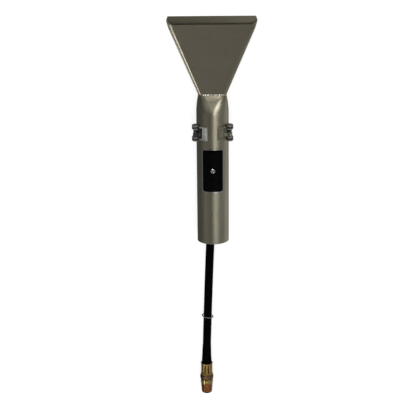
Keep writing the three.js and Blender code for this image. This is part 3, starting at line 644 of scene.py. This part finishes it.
def add_weld():
    """A rippled weld bead round the seam, with the stacked-coin look of a hand-laid run."""
    proud, half, sink, floor = 0.62, 1.25, 0.9, 0.02  # height, half width, depth, lowest point
    cad_proud, corner, count, sections = 0.35, 7.0, 360, 10
    low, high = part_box("neck_weld")
    half_width = (high.x - low.x) / 2 / MM - cad_proud
    ring = neck_loop(half_width, 0.0, high.z / MM - cad_proud, corner, count)
    loops = []
    for i, (x, z, out_x, out_z) in enumerate(ring):
        turn = 2 * math.pi * i / count
        blob = 0.5 + 0.5 * math.sin(29 * turn + 1.7 * math.sin(5 * turn) + 0.8 * math.sin(11 * turn))
        swell = 0.55 + 0.50 * blob + 0.12 * math.cos(64 * turn)
        drift = 0.18 * math.sin(i * 0.11) + 0.10 * math.sin(i * 0.29)
        loop = []
        for k in range(sections):
            around = 2 * math.pi * k / sections
            rise = math.cos(around)
            lift = proud * swell * rise if rise > 0 else sink * rise
            along = SEAM + drift * 0.4 + half * math.sin(around) * (0.8 + 0.2 * swell)
            loop.append(place(x + out_x * lift, along, max(floor, z + out_z * lift)))
        loops.append(loop)
    piece = new_piece("weld_bead", mesh_of("weld_bead", [(loops, "joined")]), "weld", "tool", "neck_weld")
    smooth(piece, 80)


# --- thumb control --------------------------------------------------------------------------------

PAD_LOW, PAD_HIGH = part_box("thumb_pad")
PAD_HALF_WIDTH = (PAD_HIGH.x - PAD_LOW.x) / 2 / MM
PAD_HALF_LENGTH = (PAD_HIGH.y - PAD_LOW.y) / 2 / MM
PAD_MIDDLE = middle("thumb_pad")[1]
PAD_R = 19.9
PAD_IN_R = 17.0
PAD_CORNER = 2.4
PAD_ROLL = 1.0
RIBS = [side * (10.4 + 6.1 * i) for side in (-1, 1) for i in range(3)]
RIB_HALF_WIDTH = 0.95
RIB_HALF_REACH = 9.5
RIB_PROUD = 0.42
SEAT_R = 4.5  # the recess round the screw
SEAT_FLOOR_R = 18.3
SCREW_RIM = 19.45


def pad_radius(x, along):
    """How far the pad's skin is from the tube's axis: a curved pad with a rolled edge and soft ribs."""
    across = abs(x) - (PAD_HALF_WIDTH - PAD_CORNER)
    down = abs(along) - (PAD_HALF_LENGTH - PAD_CORNER)
    outside = math.hypot(max(across, 0), max(down, 0)) + min(max(across, down), 0)
    inside = max(0.0, PAD_CORNER - outside)
    roll = PAD_ROLL - math.sqrt(max(0.0, PAD_ROLL**2 - max(0.0, PAD_ROLL - inside) ** 2))
    rib = 0.0
    for centre in RIBS:
        away = abs(along - centre) / RIB_HALF_WIDTH
        if away < 1:
            rib = RIB_PROUD * math.sqrt(1 - away**2) * smoothstep((RIB_HALF_REACH - abs(x)) / 0.9)
    if math.hypot(x, along) < SEAT_R:
        return SEAT_FLOOR_R
    return PAD_R - roll + rib


def add_thumb_pad():
    """The ribbed pad, with a raised collar round its screw's recess."""
    edge = [0, 0.05, 0.15, 0.3, 0.5, 0.75, 1.0]  # stations from either end, closest at the rolled edge
    first, step = 1.35, 0.35
    inner = [first + step * i for i in range(int((2 * PAD_HALF_LENGTH - 2 * first) / step) + 1)]
    stations = [d - PAD_HALF_LENGTH for d in edge + inner]
    stations += [PAD_HALF_LENGTH - d for d in reversed(edge)]
    columns = 56
    loops = []
    for along in stations:
        past = max(0.0, abs(along) - (PAD_HALF_LENGTH - PAD_CORNER))
        half = PAD_HALF_WIDTH - PAD_CORNER + math.sqrt(max(0.0, PAD_CORNER**2 - past**2))
        top, bottom = [], []
        for i in range(columns + 1):
            x = half * math.sin(math.pi / 2 * (2 * i / columns - 1))
            for radius, line in ((pad_radius(x, along), top), (PAD_IN_R, bottom)):
                line.append(place(x, PAD_MIDDLE + along, TUBE_R + math.sqrt(radius**2 - x**2)))
        loops.append(top + bottom[::-1])
    collar = [
        (1.85, 15.2), (1.85, 18.55), (3.9, 18.6), (3.95, 19.75), (4.1, 19.98), (4.4, 20.08), (4.75, 19.98),
        (4.95, 19.7), (4.95, 15.2),
    ]
    centre = (0, PAD_MIDDLE, TUBE_R)
    shells = [(loops, "capped"), lathe(collar, centre, "z", 64, "joined")]
    mesh = mesh_of("ribbed_thumb_pad", shells)
    smooth(new_piece("ribbed_thumb_pad", mesh, "plastic", "rocker", "thumb_pad"), 60)


def add_pad_screw():
    """The screw in the middle of the pad: a low domed head with a round-bottomed socket."""
    dome = [math.radians(12 * i) for i in range(5)]
    profile = [(0.0, 11.4), (1.4, 11.4), (1.4, 18.9), (2.85, 18.95), (3.0, 19.1), (3.0, SCREW_RIM)]
    for turn in dome[1:]:
        rise = 0.95 * math.sin(turn) / math.sin(dome[-1])
        profile.append((1.5 + 1.5 * math.cos(turn), SCREW_RIM + rise))
    profile += [(1.62, 20.4), (1.45, 20.32), (1.3, 20.1), (1.2, 19.2), (0.0, 19.0)]
    shell = lathe(profile, (0, PAD_MIDDLE, TUBE_R), "z", 48)
    mesh = mesh_of("domed_pad_screw", [shell])
    smooth(new_piece("domed_pad_screw", mesh, "screw", "rocker", "pad_screw"), 50)


# --- side latches ---------------------------------------------------------------------------------

EAR_HEIGHT = 5.0
EAR_POINTS = 72
EYE = (20.3, 12.5, 3.9)  # x, rise over the tube's axis, radius
TAIL = (21.4, 4.5, 2.9)
PIN_HOLE_R = 1.6
FOOT_FROM, FOOT_TO, FOOT_THICK = 61, 82, 1.4  # the bracket's foot on the tube
PAD_FROM, PAD_TO = 17.5, 49.0  # degrees from the top of the tube
ARM_R = 21.0
ARM_IN_R = 19.5
ARM_RIBS = [19.9, 27.2, 34.5]
ARM_RIB_HALF = 1.6  # degrees
ARM_GROOVE = 0.9
ARM_SPLIT = 38.0  # degrees; the ribs end here and the sunk back begins
BAR_WIDTH = 1.75
BAR_PROUD = 0.62
ARC = 0.36  # millimetres to a degree of the tube's side
BACK_R, BACK_LINE, BACK_PITCH = 20.15, 0.22, 1.1  # the sunk back and the fine lines across it
NECK_FROM, NECK_TO, NECK_R, NECK_RISE = 44, 57.2, 20.4, 1.9
BARREL_R = 2.7
RIM = 1.35  # thickness of the two raised edges of an ear
CORE_INSET = 0.8  # how far the ear is sunk between them


def belt(side, inset, along):
    """A loop round the ear's outline, which wraps two circles, drawn in by inset."""
    (x0, z0, r0), (x1, z1, r1) = TAIL, EYE
    r0, r1 = r0 - inset, r1 - inset
    towards = math.atan2(z1 - z0, x1 - x0)
    half = math.acos((r0 - r1) / math.hypot(x1 - x0, z1 - z0))
    loop = []
    for i in range(EAR_POINTS):
        share = 2 * i / EAR_POINTS
        if share < 1:
            turn, x, z, r = towards - half + 2 * half * share, x1, z1, r1
        else:
            turn, x, z, r = towards + half + (2 * math.pi - 2 * half) * (share - 1), x0, z0, r0
        loop.append(place(side * (x + r * math.cos(turn)), along, TUBE_R + z + r * math.sin(turn)))
    return loop


def eye_loop(side, radius, along):
    """A circle round the pin, whose points match those of belt()."""
    (x0, z0, r0), (x1, z1, r1) = TAIL, EYE
    towards = math.atan2(z1 - z0, x1 - x0)
    half = math.acos((r0 - r1) / math.hypot(x1 - x0, z1 - z0))
    loop = []
    for i in range(EAR_POINTS):
        share = 2 * i / EAR_POINTS
        turn = towards - half + 2 * half * share
        if share >= 1:
            turn = towards + half + (2 * math.pi - 2 * half) * (share - 1)
        x, z = x1 + radius * math.cos(turn), z1 + radius * math.sin(turn)
        loop.append(place(side * x, along, TUBE_R + z))
    return loop


def squeezed(loop, middle_along):
    """Draws a loop's points in towards the ear's middle where the ear stands furthest out."""
    centre = place(0, middle_along, 0).y
    from_x, reach, squeeze = 19.5, 4.9, 0.72
    for point in loop:
        out = min(1.0, max(0.0, (abs(point.x) / MM - from_x) / reach))
        point.y = centre + (point.y - centre) * math.sqrt(1 - squeeze * out**2)
    return loop


def ear_plate(side, start, end, inset, middle_along):
    """A plate of an ear between two stations, round-edged, bored for the pin and drawn in by inset."""
    rim = [(0.0, 0.32), (0.10, 0.10), (0.32, 0.0)]
    eye = [(2.1, 0.0), (1.8, 0.08), (PIN_HOLE_R, 0.25)]
    loops = [eye_loop(side, radius, start + depth) for radius, depth in reversed(eye)]
    loops += [belt(side, inset + fillet, start + depth) for fillet, depth in reversed(rim)]
    loops += [belt(side, inset + fillet, end - depth) for fillet, depth in rim]
    loops += [eye_loop(side, radius, end - depth) for radius, depth in eye]
    return [squeezed(loop, middle_along) for loop in loops], "joined"


def curved_slab(radius_at, inner, degrees, stations, side):
    """A slab that follows the tube: its outer radius is radius_at(degrees, station)."""
    loops = []
    for along in stations:
        top, bottom = [], []
        for angle in degrees:
            turn = math.radians(angle)
            for radius, line in ((radius_at(angle, along), top), (inner, bottom)):
                line.append(place(side * radius * math.sin(turn), along, TUBE_R + radius * math.cos(turn)))
        loops.append(top + bottom[::-1])
    return loops, "capped"


def spread(start, end, step):
    """Evenly spaced values from start to end, about a step apart."""
    count = max(2, round((end - start) / step))
    return [start + (end - start) * i / count for i in range(count + 1)]


def add_latch(name, side):
    """One latch: the bracket's two ears and foot, and the arm between them."""
    low, high = span("latch_lug_" + name)
    rims, cores = [], []
    for start in (low, high - EAR_HEIGHT):
        centre = start + EAR_HEIGHT / 2
        cores.append(ear_plate(side, start + RIM, start + EAR_HEIGHT - RIM, CORE_INSET, centre))
        for edge in (start, start + EAR_HEIGHT - RIM):
            rims.append(ear_plate(side, edge, edge + RIM, 0.0, centre))

    def foot_radius(angle, along):
        edge = min(angle - FOOT_FROM, FOOT_TO - angle) * ARC
        return TUBE_R + FOOT_THICK - 0.5 * (1 - smoothstep(edge / 0.5))

    foot_span = spread(FOOT_FROM, FOOT_TO, 0.75)
    foot = curved_slab(foot_radius, TUBE_R + 0.3, foot_span, spread(low, high, 1.0), side)
    # The ear rims in a lit copy of the latch steel; the sunk ear cores and the foot in a copy painted as in
    # deep shade.
    mesh = mesh_of("latch_rims_" + name, rims)
    smooth(new_piece("latch_rims_" + name, mesh, "lit_rim_cast", "tool", "latch_lug_" + name), 42)
    mesh = mesh_of("latch_bracket_" + name, [*cores, foot])
    slot = SLOTS["latch_lug_" + name]
    smooth(new_piece("latch_bracket_" + name, mesh, "painted_shade_cast", "tool", slot=slot), 42)

    pad_low, pad_high = span("latch_arm_" + name)
    add_finger_pad(name, side, pad_low, pad_high)
    barrel_low, barrel_high = low + EAR_HEIGHT + 0.3, high - EAR_HEIGHT - 3.5
    add_knuckle(name, side, barrel_low, barrel_high, pad_low, pad_high)


def add_finger_pad(name, side, low, high):
    """The ribbed half of a latch's pad, with a bar across each end of the whole pad; the left pad is a lit
    copy of the latch steel and the right one a copy painted as in shade.
    """

    def top(angle, along):
        to_end = min(along - low, high - along)
        edge = min(to_end, (angle - PAD_FROM) * math.radians(ARM_R))
        roll = 0.45 * (1 - smoothstep(edge / 0.5)) ** 2
        bar = BAR_PROUD * smoothstep((BAR_WIDTH - to_end) / 0.35)
        inside = smoothstep((to_end - 1.5) / 0.4)
        ridge = 0.0
        for centre in ARM_RIBS:
            away = abs(angle - centre) / ARM_RIB_HALF
            if away < 1:
                ridge = math.sqrt(1 - away**2) * inside
        groove = ARM_GROOVE * inside
        return ARM_R + max(bar, ridge) - roll - groove

    ends = spread(0, 2.4, 0.12)  # stations near either end lie closer together
    stations = [low + d for d in ends] + spread(low + 2.7, high - 2.7, 0.6)
    stations += [high - d for d in reversed(ends)]
    shells = [curved_slab(top, ARM_IN_R, spread(PAD_FROM, ARM_SPLIT, 0.35), stations, side)]

    def bar_top(angle, along):
        edge = min(along - low, along - (high - BAR_WIDTH)) if along > (low + high) / 2 else along - low
        other = (low + BAR_WIDTH if along < (low + high) / 2 else high) - along
        roll = 0.4 * (1 - smoothstep(min(edge, other, (PAD_TO - angle) * ARC) / 0.45)) ** 2
        return ARM_R + BAR_PROUD - roll

    for start in (low, high - BAR_WIDTH):
        bar_stations = spread(start, start + BAR_WIDTH, 0.12)
        shells.append(curved_slab(bar_top, ARM_IN_R, spread(ARM_SPLIT, PAD_TO, 0.5), bar_stations, side))
    mesh = mesh_of("latch_pad_" + name, shells)
    # a lit copy of the latch steel on the left, a painted-shade copy on the right
    look = "cast" if side < 0 else "pad_shade_cast"
    piece = new_piece("latch_pad_" + name, mesh, look, "latch_" + name, "latch_arm_" + name)
    smooth(piece, 45)


def add_knuckle(name, side, low, high, pad_low, pad_high):
    """The half of a latch's arm painted as in shade: the sunk back of its pad, its neck and the barrel on the
    pin.
    """

    def back_top(angle, along):
        line = 0.5 + 0.5 * math.cos(2 * math.pi * along / BACK_PITCH)
        return BACK_R + BACK_LINE * line + 0.25 * smoothstep(ARM_SPLIT + 3.5 - angle)

    back_low, back_high = pad_low + BAR_WIDTH + 0.02, pad_high - BAR_WIDTH - 0.02
    back_span = spread(ARM_SPLIT + 0.05, PAD_TO, 0.5)
    back = curved_slab(back_top, ARM_IN_R, back_span, spread(back_low, back_high, 0.14), side)

    def neck_top(angle, along):
        edge = min(along - low, high - along) - 0.2
        rise = NECK_RISE * smoothstep((angle - NECK_FROM) / 6)
        return NECK_R + rise - 0.4 * (1 - smoothstep(edge / 0.5))

    neck_span = spread(NECK_FROM, NECK_TO, 0.6)
    neck = curved_slab(neck_top, ARM_IN_R + 0.25, neck_span, spread(low + 0.2, high - 0.2, 0.5), side)
    pin_axis = (side * EYE[0], 0, TUBE_R + EYE[1])
    profile = rounded(BARREL_R, low, high, 0.35) + [(PIN_HOLE_R, high), (PIN_HOLE_R, low)]
    barrel = lathe(profile, pin_axis, "y", 48, "joined")
    mesh = mesh_of("latch_knuckle_" + name, [back, neck, barrel])
    slot = SLOTS["latch_arm_" + name]
    # painted deep shade on the left, painted half shade on the right
    look = "painted_shade_cast" if side < 0 else "half_shade_cast"
    smooth(new_piece("latch_knuckle_" + name, mesh, look, "latch_" + name, slot=slot), 45)


# --- solution hose and its end --------------------------------------------------------------------

HOSE_DIAMETER = 10.4 * MM
HOSE_R = HOSE_DIAMETER / 2 / MM
# The centre line from the inlet in the tube to the ferrule: station, x, height, in millimetres.
HOSE_ROUTE = [
    (46.6, 0, 15.05), (41, 0, 15.05), (33, -0.4, 13.9), (24, -1.1, 11.5), (12, -2.1, 8.9),
    (0, -3, 7.45), (-14, -3.8, 6.5), (-32, -4.6, 5.6), (-56, -5.6, 5.35), (-82, -6.6, 5.8),
    (-107, -7.5, 6.6), (-128, -8.2, 6.5), (-150, -8.9, 7.1), (-164, -9.15, 7.8), (-171.6, -9.2, 7.95),
]
SLEEVE = {"length": 27, "radius": 6.35, "wall": 0.15}
FERRULE_R = 7.65
RIDGES = 10
HEX_ACROSS, HEX_LENGTH = 14.7, 6.6
COLLAR_LENGTH = 6.2
NOSE_R, NOSE_TAPER, NOSE_BORE_R = 7.42, 0.55, 4.0
THREAD_PITCH, THREAD_DEPTH = 1.41, 0.22


def smooth_line(points):
    """Points along a smooth curve through the given points, six to a stretch."""
    line = []
    padded = [2 * points[0] - points[1], *points, 2 * points[-1] - points[-2]]
    for before, start, end, after in zip(padded, padded[1:], padded[2:], padded[3:]):
        for i in range(6):
            t = i / 6
            line.append(
                0.5 * (2 * start + (end - before) * t + (2 * before - 5 * start + 4 * end - after) * t * t
                       + (3 * start - before - 3 * end + after) * t ** 3)
            )
    return [*line, points[-1]]


def add_hose():
    """The hose and the pieces on it."""
    line = smooth_line([place(x, along, z) for along, x, z in HOSE_ROUTE])
    curve = bpy.data.curves.new("solution_hose", "CURVE")
    curve.dimensions = "3D"
    curve.bevel_depth = HOSE_DIAMETER / 2
    curve.bevel_resolution = 10
    curve.use_fill_caps = True
    spline = curve.splines.new("POLY")
    spline.points.add(len(line) - 1)
    for point, spot in zip(spline.points, line):
        point.co = (*spot, 1)
    spline.use_smooth = True
    piece = new_piece("solution_hose", curve, "rubber", "tool", "hose")
    on_it = [add_hose_sleeve(line), add_hose_ring(), *add_ferrule(), *add_end_fitting()]


def add_hose_sleeve(line):
    """The thin sleeve that stiffens the hose's last stretch before the ferrule."""
    kept, length = [line[-1]], 0.0
    for point in reversed(line[:-1]):
        length += (kept[-1] - point).length
        if length > SLEEVE["length"] * MM:
            break
        kept.append(point)
    kept.reverse()
    loops_out, loops_in = [], []
    for i, point in enumerate(kept):
        ahead = kept[min(i + 1, len(kept) - 1)] - kept[max(i - 1, 0)]
        across = ahead.cross(Vector((0, 0, 1))).normalized()
        up = across.cross(ahead).normalized()
        share = i / (len(kept) - 1)
        grown = HOSE_R + SLEEVE["wall"] + 0.2 * smoothstep(share * 6)
        outer = grown + (SLEEVE["radius"] - grown) * smoothstep(share)
        for radius, loops in ((outer, loops_out), (HOSE_R + 0.02, loops_in)):
            loops.append([
                point + (across * math.sin(a) + up * math.cos(a)) * radius * MM
                for a in (2 * math.pi * k / 48 for k in range(48))
            ])
    mesh = mesh_of("hose_sleeve", [(loops_out + loops_in[::-1], "joined")])
    return smooth(new_piece("hose_sleeve", mesh, "rubber", "tool", slot=SLOTS["hose"]), 60)


def add_hose_ring():
    """A loose wire ring, its two ends turned into small beads at the hose's sides."""
    x, along, z = middle("hose_ring")
    radius, wire, tilt = 6.9, 0.55, math.radians(-9)
    loops = []
    for i in range(96):
        turn = 2 * math.pi * i / 96
        bead = 0.42 * math.exp(-((abs(math.sin(turn)) - 1) / 0.012) ** 2)
        thick = wire + bead
        loop = []
        for k in range(12):
            around = 2 * math.pi * k / 12
            reach = radius - bead + thick * math.cos(around)
            off = thick * math.sin(around)
            side, up = reach * math.sin(turn), reach * math.cos(turn)
            loop.append(place(
                x + side * math.cos(tilt) - off * math.sin(tilt),
                along + side * math.sin(tilt) + off * math.cos(tilt),
                max(z + up, 0.05),
            ))
        loops.append(loop)
    mesh = mesh_of("hose_wire_ring", [(loops, "joined")])
    return smooth(new_piece("hose_wire_ring", mesh, "bright", "tool", "hose_ring"), 60)


def add_ferrule():
    """The crimped ferrule: bright ridges between crimps painted dark as in shade, with a round rim at each
    end.
    """
    back, front = span("hose_ferrule")
    centre = middle("hose_ferrule")
    bore = HOSE_R + 0.1
    core = rounded(FERRULE_R - 0.75, front - 0.3, back + 0.3, 0.2)
    core += [(bore, back + 0.3), (bore, front - 0.3)]
    core_mesh = mesh_of("crimped_ferrule", [lathe(core, centre, "y", 96, "joined")])
    core_piece = new_piece("crimped_ferrule", core_mesh, "ferrule", "tool", "hose_ferrule")
    shells = []
    for near, far in ((front, front - 1.5), (back + 2.0, back)):
        rim = rounded(FERRULE_R, near, far, 0.45)
        rim += [(FERRULE_R - 1.0, far), (FERRULE_R - 1.0, near)]
        shells.append(lathe(rim, centre, "y", 96, "joined"))
    for i in range(RIDGES):
        shells.append(ridge(centre, 2 * math.pi * i / RIDGES, back + 1.4, front - 1.0))
    ridges = new_piece(
        "ferrule_ridges", mesh_of("ferrule_ridges", shells), "brass", "tool", slot=SLOTS["hose_ferrule"]
    )
    return [smooth(core_piece, 50), smooth(ridges, 50)]


def ridge(centre, angle, start, end):
    """One ridge of the ferrule: a half-round bar that swells towards its middle."""
    loops = []
    for along in spread(start, end, 0.4):
        share = (along - start) / (end - start)
        swell = math.sin(math.pi * min(1, max(0, share)) * 0.98 + 0.03) ** 0.35
        outline = []
        for k in range(13):
            turn = math.pi * k / 12
            off = 1.35 * math.cos(turn) / FERRULE_R
            outline.append((angle + off, FERRULE_R - 0.85 + 0.80 * math.sin(turn) * swell))
        outline += [(angle + off, FERRULE_R - 1.1) for off in (-1.2 / FERRULE_R, 1.2 / FERRULE_R)]
        loops.append([
            place(centre[0] + reach * math.sin(around), along, centre[2] + reach * math.cos(around))
            for around, reach in outline
        ])
    return loops, "capped"


def add_end_fitting():
    """The brass hexagon, its collar and the tapered threaded nose."""
    tip, front = span("hose_end_fitting")
    centre = (middle("hose_ferrule")[0], 0, middle("hose_ferrule")[2])
    hex_back = front - HEX_LENGTH
    collar_back = hex_back - COLLAR_LENGTH
    corner = HEX_ACROSS / math.sqrt(3)

    def hexagon(angle):
        """The distance from the axis to a hexagon with two flats facing up and down."""
        off = (angle + math.pi / 6) % (math.pi / 3) - math.pi / 6
        return corner * math.cos(math.pi / 6) / math.cos(off)

    hex_loops = []
    for along, limit in (  # station, and the radius of the cone that chamfers the hexagon there
        (front, 6.7), (front, 7.35), (front - 0.55, 8.3), (front - 0.9, 9.0), (front - 3.3, 9.0),
        (hex_back + 0.9, 9.0), (hex_back + 0.55, 8.3), (hex_back, 7.35), (hex_back, 6.7),
    ):
        loop = []
        for i in range(144):
            angle = 2 * math.pi * i / 144
            reach = min(hexagon(angle), limit)
            side, up = reach * math.sin(angle), reach * math.cos(angle)
            loop.append(place(centre[0] + side, along, centre[2] + up))
        hex_loops.append(loop)
    hex_mesh = mesh_of("fitting_hexagon", [(hex_loops, "capped")])
    # the hexagon in the dark copy of the brass, its painted shade
    hexagonal = new_piece("fitting_hexagon", hex_mesh, "hex_shade_brass", "tool", "hose_end_fitting")

    groove, belly, lip = 7.15, 7.85, 7.3  # radii
    collar = rounded(groove, hex_back + 0.1, hex_back - 1.1, 0.2)
    collar += rounded(belly, hex_back - 1.1, collar_back + 0.7, 0.35)
    collar += rounded(lip, collar_back + 0.7, collar_back - 0.1, 0.2)
    collar_piece = new_piece(
        "fitting_collar", mesh_of("fitting_collar", [lathe(collar, centre, "y", 96)]), "brass", "tool",
        slot=SLOTS["hose_end_fitting"],
    )

    start, end = collar_back - 0.1, tip + 2.6  # of the threaded taper
    steps_a_turn = 12
    nose = []
    for i in range(int((start - end) / THREAD_PITCH * steps_a_turn) + 1):
        along = start - i * THREAD_PITCH / steps_a_turn
        share = (start - along) / (start - end)
        nose.append((NOSE_R - NOSE_TAPER * share, along))

    def thread(angle, along):
        fade = smoothstep((start - along) / 1.2) * smoothstep((along - end) / 1.2)
        wave = math.cos(2 * math.pi * (start - along) / THREAD_PITCH + angle)
        return -THREAD_DEPTH * fade * (0.5 - 0.5 * wave)

    tip_arc = [math.pi / 2 * i / 6 for i in range(1, 7)]
    nose += [(5.0 + 1.85 * math.cos(a), end - 2.55 * math.sin(a)) for a in tip_arc]
    nose += [(4.3, tip + 0.05), (NOSE_BORE_R, tip + 0.4), (NOSE_BORE_R, start - 2.0), (0.0, start - 2.0)]
    nose_mesh = mesh_of("fitting_nose", [lathe([(0.0, start), *nose], centre, "y", 96, "capped", thread)])
    nose_piece = new_piece("fitting_nose", nose_mesh, "nose_brass", "tool", slot=SLOTS["hose_end_fitting"])
    smooth(hexagonal, 20)
    smooth(collar_piece, 45)
    smooth(nose_piece, 60)
    return [hexagonal, collar_piece, nose_piece]


# --- the pieces that keep their CAD shape ---------------------------------------------------------


def add_frame_pieces():
    """Every other CAD node: its own shape, with a material and rounded edges."""
    refined("body_tube", "tube", 0.25 * MM)
    refined("head_front_shell", "sheet", 0.30 * MM)
    refined("head_rear_plate", "sheet", 0.30 * MM)
    looks = {
        "sheet": ["manifold_saddle"],
        "bright": [
            "control_bezel", "rocker_lever", "rocker_pin", "valve_plunger", "valve_spring",
            "valve_screw_rear", "valve_screw_front", "latch_pin_left", "latch_pin_right", "feed_tube",
        ],
        "brass": [
            "valve_body", "inlet_nipple", "inlet_nut", "inlet_ferrule", "outlet_nut", "spray_manifold",
            "spray_jet_left", "spray_jet_right",
        ],
        # the springs between the ears painted as in deep shade
        "painted_shade_cast": ["latch_spring_left", "latch_spring_right"],
        "rubber": ["plunger_seal"],
    }
    for look, nodes in looks.items():
        for node in nodes:
            refined(node, look)


add_camera()
add_hose()
add_frame_pieces()
add_weld()
add_thumb_pad()
add_pad_screw()
add_latch("left", -1)
add_latch("right", 1)
add_studio()
